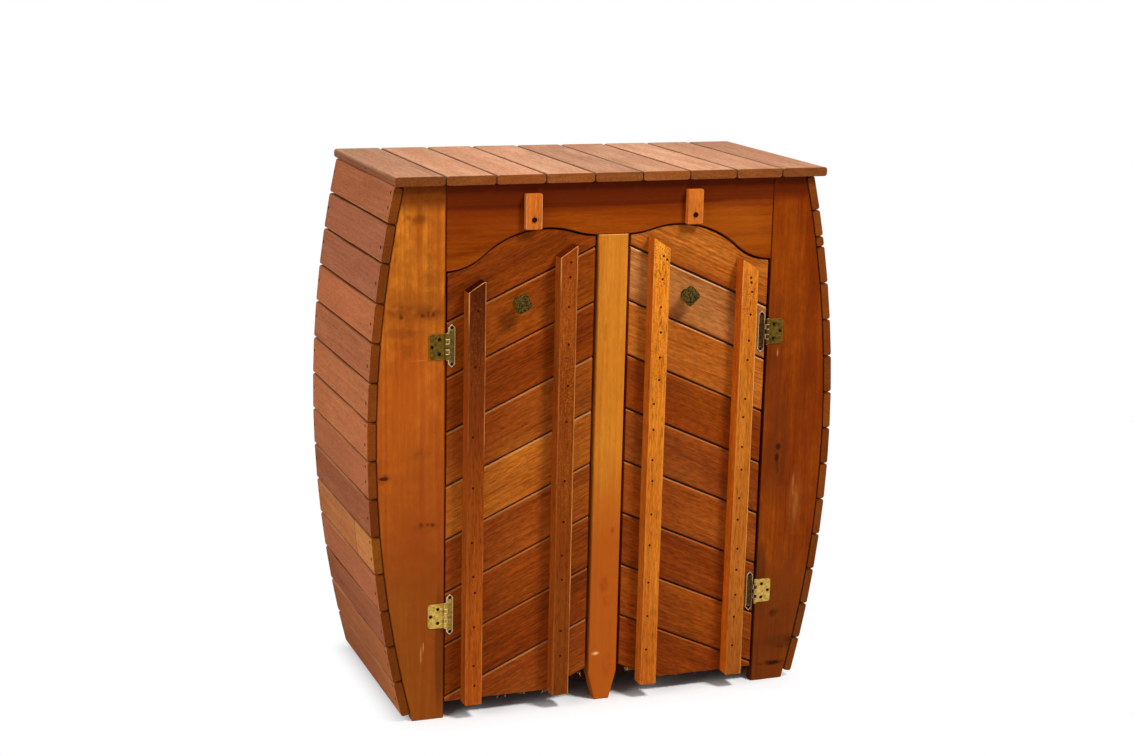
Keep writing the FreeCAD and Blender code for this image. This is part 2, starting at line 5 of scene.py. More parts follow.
import bmesh
import bpy
import numpy as np
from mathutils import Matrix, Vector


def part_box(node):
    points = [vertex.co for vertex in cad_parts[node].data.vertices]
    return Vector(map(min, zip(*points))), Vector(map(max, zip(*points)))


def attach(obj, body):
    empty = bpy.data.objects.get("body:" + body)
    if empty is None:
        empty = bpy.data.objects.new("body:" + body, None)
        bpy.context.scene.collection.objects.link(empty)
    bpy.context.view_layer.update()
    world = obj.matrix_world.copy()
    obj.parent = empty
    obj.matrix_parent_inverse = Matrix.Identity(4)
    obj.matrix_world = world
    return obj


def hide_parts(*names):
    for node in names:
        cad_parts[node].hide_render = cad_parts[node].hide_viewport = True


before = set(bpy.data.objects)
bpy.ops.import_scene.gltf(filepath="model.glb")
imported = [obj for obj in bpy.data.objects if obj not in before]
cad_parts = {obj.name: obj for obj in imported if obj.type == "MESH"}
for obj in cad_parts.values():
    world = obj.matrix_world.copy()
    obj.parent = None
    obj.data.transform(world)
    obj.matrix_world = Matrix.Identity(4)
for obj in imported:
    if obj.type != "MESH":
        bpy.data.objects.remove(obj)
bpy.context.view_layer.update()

# ---- inside timber ----
# Back stiles and rails, back boards, floor boards with their bearers, and the strip behind
# the post.  Plain sawn softwood, nailed together and never oiled, so it is pale and matt.
MM = 0.001
INSIDE = ["back_left_stile", "back_right_stile", "back_top_rail", "back_bottom_rail",
          "back_boards", "floor_boards", "floor_cleats", "floor_front_bearer"]
# Each noise: waves per metre along and across the grain, detail, and the range it spreads.
# Real pores are under a millimetre wide, too fine to show, so these are 1.5 mm apart.
GRAIN = {"sway": (1.6, 7, 2, 0.0, 1.0), "fibre": (9, 300, 4, 0.34, 0.66),
         "patch": (5, 20, 3, 0.36, 0.64), "cloud": (2.5, 9, 2, 0.36, 0.64),
         "pore": (50, 650, 1, 0.56, 0.72), "fleck": (80, 380, 3, 0.3, 0.7),
         "blot": (50, 50, 4, 0.3, 0.7), "speck": (330, 330, 0, 0.58, 0.7)}
# How far each layer lifts or sinks the surface.
LIFTS = {"ring": 0.3, "fibre": 0.6, "patch": 0.0, "pore": -0.9}
# The second colour is painted shade on faces that turn down.
PORE_BROWN, UNDERSIDE_SHADE = "#7d6a5e", "#300a00"
OIL_SHEEN, RELIEF_DEPTH = 0.04, 0.4 * MM  # dry oil hardly shines
SWAY_MM, MARK_DEPTH = 30, 20.0            # how far the rings sway, how deep a mark goes, mm


def rgb(code):
    """The red, green and blue of an sRGB hex colour, from 0 to 255."""
    return np.array([int(code[i:i + 2], 16) for i in (1, 3, 5)])


def linear(code):
    """An sRGB hex colour as linear RGBA."""
    srgb = rgb(code) / 255
    bright = ((srgb + 0.055) / 1.055) ** 2.4
    return (*np.where(srgb <= 0.04045, srgb / 12.92, bright), 1.0)


def add(tree, kind, inputs=None, **settings):
    """Add a shader node, give it its settings, and set or link its inputs.

    A node among the inputs stands for its first output.
    """
    made = tree.nodes.new("ShaderNode" + kind)
    for key, value in settings.items():
        setattr(made, key, value)
    for key, value in (inputs or {}).items():
        if isinstance(value, bpy.types.Node):
            value = value.outputs[0]
        if isinstance(value, bpy.types.NodeSocket):
            tree.links.new(value, made.inputs[key])
        else:
            made.inputs[key].default_value = value
    return made


def new_material(name):
    """A material with an empty node tree."""
    material = bpy.data.materials.new(name)
    material.use_nodes = True
    material.node_tree.nodes.clear()
    return material, material.node_tree


def wood(name, pale, dark, flush, wear_and_highlight, turn=None, heart=(0, 0.02, 0.11), ring_mm=6.0,
         rings=0.3, fibres=0.3, patches=0.35, pores=0.4, flecks=0.2, roughness=0.55,
         relief=0.3, washes=(), marks=(), specks=(), face=0.0):
    """Timber whose growth rings are cylinders about a line along the grain.

    The rings are a one-dimensional noise of the distance from that line, swayed by a
    slow noise; fibres, flecks and pores are noise drawn out along the grain, and the
    cloud tints broad parts with the flush colour.  With turn, the pattern reads Object
    coordinates turned so that X runs along the grain; faces that turn up take the worn
    colour, partly wear and partly a painted highlight, and faces that turn down take a
    painted shade.  Without it, it reads the piece's own grain, tone and edge attributes.
    A wash is a smooth patch of colour: most are stains, and those marked in the lists are
    painted shadow and shade.  A mark is a blotchy stain and specks are dots: each is
    (x, z, half width, half height, strength, colour), in mm, with its middle at the y of
    the face.
    """
    material, tree = new_material(name)
    spot = add(tree, "TexCoord").outputs["Object"]
    if turn is None:
        place = add(tree, "Attribute", attribute_name="grain").outputs["Vector"]
    else:
        turned = add(tree, "Mapping", {"Vector": spot, "Rotation": turn})
        place = add(tree, "Mapping", {"Vector": turned, "Location": heart})
    layer = {}
    for key, (along, across, detail, low, high) in GRAIN.items():
        drawn = add(tree, "VectorMath", {0: place, 1: (along, across, across)},
                    operation="MULTIPLY")
        value = add(tree, "TexNoise", {"Vector": drawn, "Scale": 1.0, "Detail": detail,
                                       "Roughness": 0.6})
        layer[key] = add(tree, "MapRange", {"Value": value, "From Min": low,
                                            "From Max": high})
    section = add(tree, "VectorMath", {0: place, 1: (0, 1, 1)}, operation="MULTIPLY")
    radius = add(tree, "VectorMath", {0: section}, operation="LENGTH").outputs["Value"]
    count = add(tree, "Math", {0: radius, 1: 1 / (ring_mm * MM)}, operation="MULTIPLY")
    count = add(tree, "Math", {0: layer["sway"], 1: SWAY_MM / ring_mm, 2: count},
                operation="MULTIPLY_ADD")
    ring = add(tree, "TexNoise", {"W": count, "Scale": 1.0, "Detail": 1.5},
               noise_dimensions="1D")
    layer["ring"] = add(tree, "MapRange", {"Value": ring, "From Min": 0.32,
                                           "From Max": 0.68})
    shade, height = 0.0, 0.0
    for key, weight in (("ring", rings), ("fibre", fibres), ("patch", patches), ("pore", 0)):
        if weight:
            shade = add(tree, "Math", {0: layer[key], 1: weight, 2: shade},
                        operation="MULTIPLY_ADD")
        if LIFTS[key]:
            height = add(tree, "Math", {0: layer[key], 1: LIFTS[key], 2: height},
                         operation="MULTIPLY_ADD")
    colour = add(tree, "MixRGB", {"Fac": shade, "Color1": linear(pale),
                                  "Color2": linear(dark)})
    cloud = add(tree, "Math", {0: layer["cloud"], 1: 0.5}, operation="MULTIPLY")
    colour = add(tree, "MixRGB", {"Fac": cloud, "Color1": colour, "Color2": linear(flush)})
    fleck = add(tree, "MapRange", {"Value": layer["fleck"], "To Min": 1 + flecks,
                                   "To Max": 1 - flecks})
    colour = add(tree, "MixRGB", {"Fac": 1.0, "Color1": colour, "Color2": fleck},
                 blend_type="MULTIPLY")
    pore = add(tree, "Math", {0: layer["pore"], 1: pores}, operation="MULTIPLY")
    colour = add(tree, "MixRGB", {"Fac": pore, "Color1": colour,
                                  "Color2": linear(PORE_BROWN)}, blend_type="MULTIPLY")
    if turn is None:
        tone = add(tree, "Attribute", attribute_name="tone").outputs["Vector"]
        edge = add(tree, "Attribute", attribute_name="edge").outputs["Fac"]
        colour = add(tree, "MixRGB", {"Fac": 1.0, "Color1": colour, "Color2": tone},
                     blend_type="MULTIPLY")
        rub_and_highlight = add(tree, "Math", {0: edge, 1: layer["patch"]}, operation="MULTIPLY")
    else:
        # Painted light: faces that turn up take the worn colour, partly wear and partly a
        # painted highlight, and faces that turn down take painted shade.
        facing = add(tree, "NewGeometry").outputs["Normal"]
        up = add(tree, "SeparateXYZ", {0: facing}).outputs["Z"]
        rub_and_highlight = add(tree, "MapRange", {"Value": up, "From Min": 0.3, "From Max": 0.9,
                                     "To Max": 0.75})
        down_shade = add(tree, "MapRange", {"Value": up, "From Min": -0.15, "From Max": -0.6,
                                      "To Max": 0.85})
        colour = add(tree, "MixRGB", {"Fac": down_shade, "Color1": colour, "Color2": linear(UNDERSIDE_SHADE)})
    colour = add(tree, "MixRGB", {"Fac": rub_and_highlight, "Color1": colour, "Color2": linear(wear_and_highlight)})
    for texture, (x, z, half_w, half_h, strength, stain) in (
            [(1.0, wash) for wash in washes] + [(layer["blot"], mark) for mark in marks]
            + [(layer["speck"], speck) for speck in specks]):
        size = np.array((half_w, MARK_DEPTH, half_h))
        near = add(tree, "Mapping", {"Vector": spot, "Scale": 1 / (size * MM),
                                     "Location": -np.array((x, face, z)) / size})
        near = add(tree, "TexGradient", {"Vector": near},
                   gradient_type="SPHERICAL").outputs["Fac"]
        near = add(tree, "MapRange", {"Value": near, "From Max": 0.6})
        stained = add(tree, "Math", {0: near, 1: texture}, operation="MULTIPLY")
        stained = add(tree, "MapRange", {"Value": stained, "From Min": 0.05,
                                         "From Max": 0.7, "To Max": strength})
        colour = add(tree, "MixRGB", {"Fac": stained, "Color1": colour,
                                      "Color2": linear(stain)})
    bump = add(tree, "Bump", {"Height": height, "Strength": relief,
                              "Distance": RELIEF_DEPTH})
    shader = add(tree, "BsdfPrincipled", {"Base Color": colour, "Roughness": roughness,
                                          "Normal": bump, "Specular IOR Level": OIL_SHEEN})
    add(tree, "OutputMaterial", {"Surface": shader})
    return material


def dress(names, material):
    """Give CAD nodes a material."""
    for name in names:
        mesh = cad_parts[name].data
        mesh.materials.clear()
        mesh.materials.append(material)


UPRIGHT = (0, math.pi / 2, 0)             # turns +Z to +X, for grain that runs upwards
# Dry and pale, with a rough sawn face.
sawn_softwood = wood("sawn_softwood", "#bd8c58", "#8a5d36", "#a87a50", "#c89a68",
                     turn=UPRIGHT, roughness=0.8, relief=0.6)
dress(INSIDE, sawn_softwood)
# The strip behind the post is painted dark as shade, so that it doesn't show under the doors.
painted_shade_softwood = wood("painted_shade_softwood", "#3c2010", "#241006", "#301608", "#4a2a18",
                        turn=UPRIGHT, roughness=0.8, relief=0.6)
dress(["post_backing"], painted_shade_softwood)

# ---- front frame ----
# Two curved stiles, the double-arched rail between them and the post under it.  Planed
# hardwood, oiled to an orange brown; knots, scuffs and stains show on the upright pieces.
# Painted shadow darkens the stiles and rail under the top, and painted shade lines the
# stiles beside the doors.
KNOT, SMUDGE, SCUFF, RED = "#260e02", "#74360a", "#d8944e", "#8e2c06"
# The first is painted shade in the gaps beside the doors, the second painted shadow under the
# top's overhang.
GAP_SHADE, OVERHANG_SHADOW = "#1c0800", "#4a1200"
FRAME_FACE = -178.5                       # y of the frame's front, mm
LEVEL = (0, 0, 0)                         # grain that runs along X
# Painted light: the washes at heights 880 and 892 are painted shadow under the top, and the
# thin one at x -282 is painted shade in the gap beside the door.
LEFT_WASHES = [(-282, 440, 3, 5000, 1.0, GAP_SHADE), (-340, 70, 180, 400, 0.85, "#7c3c0c"),
               (-345, 470, 120, 260, 0.55, "#a04410"), (-300, 300, 60, 300, 0.4, "#8a3a0c"),
               (-330, 694, 80, 34, 0.35, SMUDGE), (-320, 880, 120, 34, 0.5, "#8a4c14"),
               (-290, 120, 10, 130, 0.6, "#4a2206"), (-330, 892, 300, 52, 0.82, OVERHANG_SHADOW),
               (-384, 420, 10, 4, 0.9, KNOT)]
LEFT_MARKS = [(-330, 420, 150, 700, 0.3, "#7c3606"), (-340, 780, 90, 160, 0.3, "#8a4a10"),
              (-327, 831, 14, 12, 0.8, SMUDGE), (-334, 838, 28, 8, 0.6, SMUDGE),
              (-364, 786, 6, 22, 0.9, SMUDGE), (-362, 693, 20, 16, 0.9, SMUDGE),
              (-330, 690, 60, 16, 0.5, SMUDGE), (-320, 682, 5, 5, 1.0, KNOT),
              (-311, 684, 4, 6, 1.0, KNOT), (-303, 683, 4, 5, 1.0, KNOT),
              (-355, 681, 5, 5, 0.9, KNOT), (-311, 684, 30, 12, 0.6, SMUDGE),
              (-345, 640, 12, 70, 0.4, SMUDGE), (-308, 760, 14, 70, 0.3, SMUDGE),
              (-352, 655, 40, 12, 0.4, SMUDGE), (-322, 454, 20, 14, 0.5, SMUDGE),
              (-386, 419, 18, 12, 0.8, KNOT), (-321, 338, 6, 6, 1.0, KNOT),
              (-311, 338, 5, 5, 1.0, KNOT), (-302, 337, 5, 5, 1.0, KNOT),
              (-312, 338, 30, 18, 0.5, SMUDGE), (-340, 540, 50, 90, 0.35, "#b05412"),
              (-321, 115, 2, 20, 0.5, SCUFF), (-317, 128, 1.6, 12, 0.5, SCUFF),
              (-318, 722, 14, 2, 0.25, SCUFF), (-330, 610, 22, 1.6, 0.25, SCUFF)]
# Painted light: the washes at heights 880 and 892 are painted shadow under the top, and the
# thin one at x 282 is painted shade in the gap beside the door.
RIGHT_WASHES = [(282, 440, 2, 5000, 0.8, GAP_SHADE), (330, 60, 130, 190, 0.6, "#5e2c08"),
                (316, 430, 22, 110, 0.6, "#5a2204"), (300, 520, 16, 240, 0.5, "#6a2c06"),
                (350, 325, 18, 70, 0.05, SCUFF), (290, 205, 12, 60, 0.6, "#3e1e04"),
                (345, 70, 60, 14, 0.5, "#4a2004"), (330, 880, 120, 30, 0.6, "#5e2402"),
                (330, 892, 300, 52, 0.82, OVERHANG_SHADOW), (313, 424, 6, 8, 0.85, KNOT),
                (311, 405, 5, 9, 0.85, KNOT), (318, 122, 8, 8, 0.8, KNOT)]
RIGHT_MARKS = [(330, 440, 130, 700, 0.3, "#5c2002"), (313, 395, 4, 26, 0.7, KNOT),
               (319, 125, 14, 8, 0.8, KNOT), (351, 322, 7, 40, 0.2, SCUFF),
               (345, 352, 3, 28, 0.25, SCUFF), (318, 130, 32, 34, 0.6, "#6a3008"),
               (361, 70, 22, 7, 1.0, KNOT), (346, 58, 22, 5, 0.8, KNOT),
               (318, 30, 34, 6, 1.0, KNOT), (303, 590, 2, 10, 0.6, SCUFF),
               (330, 640, 12, 120, 0.4, "#6a2c04"), (352, 600, 8, 160, 0.4, "#6a2c04")]
POST_WASHES = [(0, 40, 120, 420, 0.8, "#a4480e")]
POST_MARKS = [(-1, 205, 10, 24, 0.5, RED), (-14, 84, 9, 4, 1.0, "#e8b070"),
              (5, 178, 9, 16, 0.5, RED), (12, 300, 5, 9, 0.9, RED),
              (-10, 640, 4, 20, 0.5, SMUDGE), (8, 60, 12, 30, 0.4, RED)]
# Painted light: the washes at heights 884 and 892 are painted shadow under the top.
RAIL_WASHES = [(0, 884, 600, 30, 0.7, "#6a2806"), (190, 800, 110, 60, 0.25, "#b05a14"),
               (-200, 830, 110, 40, 0.4, "#6a2402"), (20, 815, 120, 16, 0.15, "#a04c10"),
               (-40, 851, 460, 5, 0.6, "#4e1402"), (0, 892, 5000, 60, 0.8, OVERHANG_SHADOW)]
RAIL_MARKS = [(235, 846, 80, 8, 0.8, "#7a3008"), (-60, 858, 60, 3, 0.6, "#5a1c02")]
STILE_GRAIN = {"turn": UPRIGHT, "ring_mm": 9, "rings": 0.45, "fibres": 0.4,
               "patches": 0.45, "flecks": 0.12}
FRAME_FINISH = {"pores": 0.1, "roughness": 0.5, "relief": 0.2, "face": FRAME_FACE}
# Satin oil over pale timber, with a blotchy figure.
left_stile_wood = wood("oiled_left_stile", "#e68e2a", "#a24e0e", "#a65210", "#d08c48",
                       heart=(0.3, 0.33, 0.30), washes=LEFT_WASHES, marks=LEFT_MARKS,
                       **STILE_GRAIN, **FRAME_FINISH)
# The same timber cut from a redder board.
right_stile_wood = wood("oiled_right_stile", "#a64e04", "#6e2800", "#782a00", "#b87438",
                        heart=(1.3, -0.33, 0.30), washes=RIGHT_WASHES, marks=RIGHT_MARKS,
                        **STILE_GRAIN, **FRAME_FINISH)
# Level grain, darkened under the top by painted shadow, with one dark line.
rail_wood = wood("oiled_rail", "#a24c04", "#6e2a00", "#7a2c00", "#b87438", turn=LEVEL,
                 heart=(0.1, 0.3, -0.80), ring_mm=7, rings=0.5, fibres=0.4, patches=0.3,
                 flecks=0.12, washes=RAIL_WASHES, marks=RAIL_MARKS, **FRAME_FINISH)
# The palest piece of the front, even in tone.
post_wood = wood("oiled_post", "#ce8226", "#ac5c10", "#bc6818", "#dca460", turn=UPRIGHT,
                 heart=(2.3, 0.02, 0.30), ring_mm=6, rings=0.25, fibres=0.3, patches=0.3,
                 flecks=0.08, washes=POST_WASHES, marks=POST_MARKS, **FRAME_FINISH)
dress(["front_left_stile"], left_stile_wood)
dress(["front_right_stile"], right_stile_wood)
dress(["top_rail"], rail_wood)
dress(["centre_post"], post_wood)

# ---- barrel sides ----
# Red-brown boards laid flat across the stiles, their four long edges eased, each fixed with
# nails at both ends.  They were oiled and have dulled, every board to its own tone.
SLAT_EASE, SLAT_END_EASE = 4 * MM, 0.8 * MM
# The second is how much a slat's end darkens towards its back.
SLAT_WARP, SLAT_END_DARKENING = 0.35 * MM, 0.85
SLAT_TONES = {"pale": (1.16, 1.18, 1.12), "plain": (1.0, 1.0, 1.0), "dull": (0.92, 0.95, 1.1),
              "dark": (0.76, 0.74, 0.78), "golden": (1.15, 1.25, 0.98),
              "warm": (0.9, 0.9, 0.75), "straw": (1.25, 1.5, 1.05)}
# From the top: fourteen slats on the left, and what the right ones are drawn from.
LEFT_SLATS = ["plain", "dull", "dull", "pale", "plain", "pale", "pale", "plain", "dark",
              "golden", "plain", "dark", "warm", "warm"]
RIGHT_SLATS = ["pale", "plain", "dull", "warm"]
SPLICED = 9                     # this left slat is two lengths, butted at the splice
SPLICE = 112 * MM               # behind the slat's front end
chance = np.random.default_rng(41)


def islands(name):
    """The points of each separate solid in a CAD node, found by spreading labels."""
    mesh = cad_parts[name].data
    co = np.zeros(len(mesh.vertices) * 3)
    mesh.vertices.foreach_get("co", co)
    tris = np.zeros(len(mesh.polygons) * 3, int)
    mesh.polygons.foreach_get("vertices", tris)
    points, index = np.unique(np.round(co.reshape(-1, 3), 6), axis=0, return_inverse=True)
    tris = index.ravel()[tris.reshape(-1, 3)]
    label = np.arange(len(points))
    while True:
        spread = label.copy()
        np.minimum.at(spread, tris.ravel(), np.repeat(label[tris].min(1), 3))
        if (spread == label).all():
            return [points[label == k] for k in np.unique(label)]
        label = spread


FLAT_FROM = 1.6                           # the unworn face starts this many eases in


def eased_section(thick, ease, back_ease, steps=4):
    """A board's section as (share, inset, depth, wear) rows, going round it once.

    Share is 0 on one long edge and 1 on the other, inset is the distance in from that
    edge and depth the distance behind the face; each corner is a quarter circle, and
    wear is 1 in the middle of a corner of the face.
    """
    angle = np.linspace(0, math.pi / 2, steps + 1)
    inset, drop = 1 - np.cos(angle), 1 - np.sin(angle)
    wear = np.sin(2 * angle)
    zero, one = np.zeros_like(angle), np.ones_like(angle)
    flat = ease * FLAT_FROM
    face = np.array([[0, flat, 0, 0], [0.5, 0, 0, 0], [1, -flat, 0, 0]])
    return np.concatenate([
        np.stack([zero, ease * inset, ease * drop, wear], 1), face,
        np.stack([one, -ease * inset, ease * drop, wear], 1)[::-1],
        np.stack([one, -back_ease * inset, thick - back_ease * drop, zero], 1),
        np.stack([zero, back_ease * inset, thick - back_ease * drop, zero], 1)[::-1]])


def tube_faces(rows, ring):
    """Quads between the rows of a closed ring of points, and a cap over each end."""
    first = np.arange(rows - 1)[:, None] * ring + np.arange(ring)[None]
    after = np.arange(rows - 1)[:, None] * ring + (np.arange(ring)[None] + 1) % ring
    quads = np.stack([first, after, after + ring, first + ring], -1).reshape(-1, 4)
    return quads.tolist() + [list(range(ring))[::-1],
                             list(range((rows - 1) * ring, rows * ring))]


END_GRAIN = (0.42, 0.29, 0.06)            # end grain against the face, red, green and blue
# The long edges against the face, darkened as painted shade in the gaps between boards.
FLANK_SHADE = (0.5, 0.36, 0.28)                 # the long edges against the face
END_RIM = 1.8 * MM                        # width of the dirty rim round an end
END_FADE = 0.6 * MM                       # where the end's tone gives way to the face's
FACE_SKIN = 1 * MM                        # what lies nearer a face than this belongs to it


def board_shell(section, length, end_ease, place, axes, heart, tone, parts=12, flank=FLANK_SHADE,
                end_tone=END_GRAIN, end_wear=(0.0, 0.0), end_darkening=0.0):
    """One board: its section carried along its length, both ends drawn in a little.

    place(along, share, inset, depth) gives the points; axes are the directions along,
    across and into the board, and heart is where the board lay in its tree.  End grain
    drinks the oil, so the tone falls to a deep brown there, and the flanks take the flank
    tone, painted shade in the gaps between boards; end_wear is how bare the arrises of the
    near and far end are, and the last argument how much the rim of an end darkens towards
    the board's back.
    """
    share, inset, depth, wear = section.T
    thick = depth.max()
    near = np.array([0, 0, end_ease, end_ease + END_FADE])
    along = np.concatenate([near, np.linspace(0, length, parts)[1:-1], length - near[::-1]])
    pull = np.zeros((len(along), 1))
    pull[[0, -1]] = end_ease + END_RIM
    pull[[1, -2]] = end_ease
    ends, rim = np.zeros((2, len(along), 1))
    ends[[0, 1, 2, -3, -2, -1]] = 1
    rim[[1, 2, -3, -2]] = end_darkening
    inset = inset[None] + pull * (1 - 2 * share[None])
    depth = np.clip(depth[None] + 0 * pull, pull, thick - pull)
    points = place(along[:, None], share[None], inset, depth)
    rows, ring = points.shape[:2]
    points = points.reshape(-1, 3)
    grain = points @ np.array(axes).T + np.array(heart)
    at = section[:, 2]
    ends = np.broadcast_to(ends, (rows, ring)).reshape(-1, 1)
    flanks = np.broadcast_to((at > FACE_SKIN) & (at < thick - FACE_SKIN),
                             (rows, ring)).reshape(-1, 1) * (1 - ends)
    flank = np.broadcast_to(flank, (rows, ring, 3)).reshape(-1, 3)
    # End grain takes its own tone, and the flanks the flank tone, which is painted shade in
    # the gaps.
    tones = np.array(tone) * (1 - ends * (1 - np.array(end_tone)) - flanks * (1 - flank))
    # The rim of an end darkens towards the board's back.
    tones *= 1 - (rim * at / thick).reshape(-1, 1)
    edge = wear[None] * (pull == 0)
    edge[[2, -3]] = np.array(end_wear)[:, None] * (at < FACE_SKIN)
    return points, tube_faces(rows, ring), grain, tones, edge.reshape(-1)


def make_piece(name, shells, material, body, nodes=(), smooth=False):
    """Join shells into one object, hang it on its body and hide the nodes it replaces."""
    start, faces = 0, []
    for shell in shells:
        faces += [[start + i for i in face] for face in shell[1]]
        start += len(shell[0])
    mesh = bpy.data.meshes.new(name)
    mesh.from_pydata(np.concatenate([shell[0] for shell in shells]).tolist(), [], faces)
    for k, key in ((2, "grain"), (3, "tone"), (4, "edge")):
        if len(shells[0]) > k:
            values = np.concatenate([shell[k] for shell in shells])
            kind, field = ("FLOAT", "value") if key == "edge" else ("FLOAT_VECTOR", "vector")
            mesh.attributes.new(key, kind, "POINT").data.foreach_set(field, values.ravel())
    mesh.polygons.foreach_set("use_smooth", [smooth] * len(faces))
    mesh.materials.append(material)
    form = bmesh.new()
    form.from_mesh(mesh)
    bmesh.ops.recalc_face_normals(form, faces=form.faces)
    form.to_mesh(mesh)
    form.free()
    piece = bpy.data.objects.new(name, mesh)
    bpy.context.scene.collection.objects.link(piece)
    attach(piece, body)
    if nodes:
        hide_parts(*nodes)
    return piece


# Dull oil gone pinkish, with fine dark flecks.
slat_wood = wood("dulled_red_slats", "#b87048", "#925232", "#a85c38", "#bc7c50",
                 rings=0.2, fibres=0.4, patches=0.4, pores=0.35, flecks=0.14, roughness=0.7)


def slat_frame(points):
    """A slat's unit vectors up and out, its lower edge and width, and where its face is.

    The section's longer axis is across the board; up and out are turned to +Z and away
    from the middle of the cupboard.
    """
    middle = points.mean(0)
    flat = (points - middle)[:, [0, 2]]
    vectors = np.linalg.eigh(flat.T @ flat)[1]
    up = np.array([vectors[0, 1], 0, vectors[1, 1]])
    up *= np.sign(up[2])
    out = np.cross(up, [0, 1, 0])
    out *= np.sign(out[0] * middle[0])
    return up, out, (points @ up).min(), np.ptp(points @ up), (points @ out).max()


def new_heart(sideways, near, far):
    """Where a board lay in its tree: along the grain, to one side, and behind the face."""
    return chance.uniform(0, 9), chance.uniform(-sideways, sideways), chance.uniform(near, far)


def bow(along, share, warp):
    """A board's bend: a half sine along it, from one long edge's warp to the other's."""
    return np.sin(along * math.pi) * (warp[0] + share * (warp[1] - warp[0]))


def slat(points, tone, start, length):
    """One length of a slat, from the points of its solid."""
    up, out, low, width, face = slat_frame(points)
    thick = np.ptp(points @ out)
    warp = chance.uniform(-SLAT_WARP, SLAT_WARP, 2)

    def place(along, share, inset, depth):
        side = low + share * width + inset + bow(along / length, share, warp)
        return (side[..., None] * up + (face - depth)[..., None] * out
                + (start + along)[..., None] * np.array([0, 1, 0]))

    return board_shell(eased_section(thick, SLAT_EASE, SLAT_EASE), length, SLAT_END_EASE,
                       place, ([0, 1, 0], up, out), new_heart(0.05, 0.05, 0.12),
                       SLAT_TONES[tone], end_darkening=SLAT_END_DARKENING)


def heads(places, outs, profile, sides=10, lobes=0.0):
    """Nail or screw heads: a profile of (radius, height) rows turned about each out.

    The second and third rows are a screw's recess, which the lobes spread into a cross.
    Radius times cosine and sine of the angle runs along two directions square to out.
    """
    angle = np.linspace(0, 2 * math.pi, sides, endpoint=False)
    radius, height = np.array(profile).T
    wave = np.zeros((len(radius), 1))
    wave[1:3] = lobes
    reach = radius[:, None] * (1 + wave * np.cos(4 * angle)[None])
    shells = []
    for place, out in zip(places, outs):
        side = np.cross(out, [0, 0, 1])
        side = side / np.linalg.norm(side)
        over = np.cross(side, out)
        ring = (np.cos(angle)[None, :, None] * side + np.sin(angle)[None, :, None] * over)
        points = place + reach[..., None] * ring + height[:, None, None] * np.array(out)
        shells.append((points.reshape(-1, 3), tube_faces(len(radius), sides)))
    return shells


def mottling(tree, scale):
    """Object coordinates, noise of a scale in waves per metre, and the noise spread out."""
    spot = add(tree, "TexCoord").outputs["Object"]
    noise = add(tree, "TexNoise", {"Vector": spot, "Scale": scale, "Detail": 3.0})
    return spot, noise, add(tree, "MapRange", {"Value": noise, "From Min": 0.35,
                                               "From Max": 0.65})


def mottled(name, low, high, scale, roughness, specular=0.15):
    """A surface mottled between two colours, with the same noise as its relief."""
    material, tree = new_material(name)
    noise, spread = mottling(tree, scale)[1:]
    colour = add(tree, "MixRGB", {"Fac": spread, "Color1": linear(low),
                                  "Color2": linear(high)})
    bump = add(tree, "Bump", {"Height": noise, "Strength": 0.5, "Distance": 0.3 * MM})
    shader = add(tree, "BsdfPrincipled", {"Base Color": colour, "Roughness": roughness,
                                          "Normal": bump, "Specular IOR Level": specular})
    add(tree, "OutputMaterial", {"Surface": shader})
    return material


NAIL = [(2.1 * MM, -0.4 * MM), (2.1 * MM, 0.05 * MM), (1.7 * MM, 0.2 * MM),
        (0.5 * MM, 0.25 * MM)]
SLAT_NAIL = np.array(NAIL) * (1.4, 1.0)   # broader heads
# Each nail of a slat: how far from an end, and its height as a share of the width.
FRONT_NAILS, BACK_NAIL = ((15 * MM, 0.42), (15 * MM, 0.83)), (8 * MM, 0.6)
NARROW = 30 * MM                          # a slat under this width has one nail in front
# Steel nails rusted to a dark red brown, that read as dark dots.
rusty_nail = mottled("rusted_nails", "#200600", "#401404", 900.0, 0.9, 0.03)
for side in ("left", "right"):
    solids = sorted(islands(side + "_side_slats"), key=lambda p: -p[:, 2].mean())
    tones = LEFT_SLATS if side == "left" else chance.choice(RIGHT_SLATS, len(solids))
    shells, spots, outs = [], [], []
    for i, points in enumerate(solids):
        front, length = points[:, 1].min(), np.ptp(points[:, 1])
        if side == "left" and i == SPLICED:
            shells.append(slat(points, "straw", front, SPLICE))
            shells.append(slat(points, tones[i], front + SPLICE, length - SPLICE))
        else:
            shells.append(slat(points, tones[i], front, length))
        up, out, low, width, face = slat_frame(points)
        for behind, share in (*FRONT_NAILS, (length - BACK_NAIL[0], BACK_NAIL[1])):
            # A narrow slat has only the lower front nail, and others often lack the upper.
            if width < NARROW and share > 0.5 or share > 0.8 and chance.random() < 0.5:
                continue
            share += chance.uniform(-0.06, 0.06)
            behind += chance.uniform(-2, 2) * MM
            spots.append((low + share * width) * up + face * out
                         + (front + behind) * np.array([0, 1, 0]))
            outs.append(out)
    make_piece(side + "_slats", shells, slat_wood, "carcass",
               [side + "_side_slats"])
    make_piece(side + "_slat_nails", heads(spots, outs, SLAT_NAIL), rusty_nail, "carcass")

# ---- top ----
# Nine boards laid front to back over the frame, with the same eased edges as the slats.
# They see the most sun and hands, so they are the palest timber, chipped along the back.
TOP_TONES = (0.84, 1.12, 1.14, 1.1, 0.92, 0.98, 1.14, 0.94, 0.78)    # left to right
TOP_EASE, TOP_WARP = 5 * MM, 0.5 * MM
TOP_JOINT_SHADE = (0.2, 0.09, 0.05)             # painted shade between the boards, against their faces
TOP_END = (0.38, 0.22, 0.08)
TOP_OUTER = 0.36                          # only the two outer edges reach past this
TOP_RUB = 0.3                             # of all arrises but the right outer one
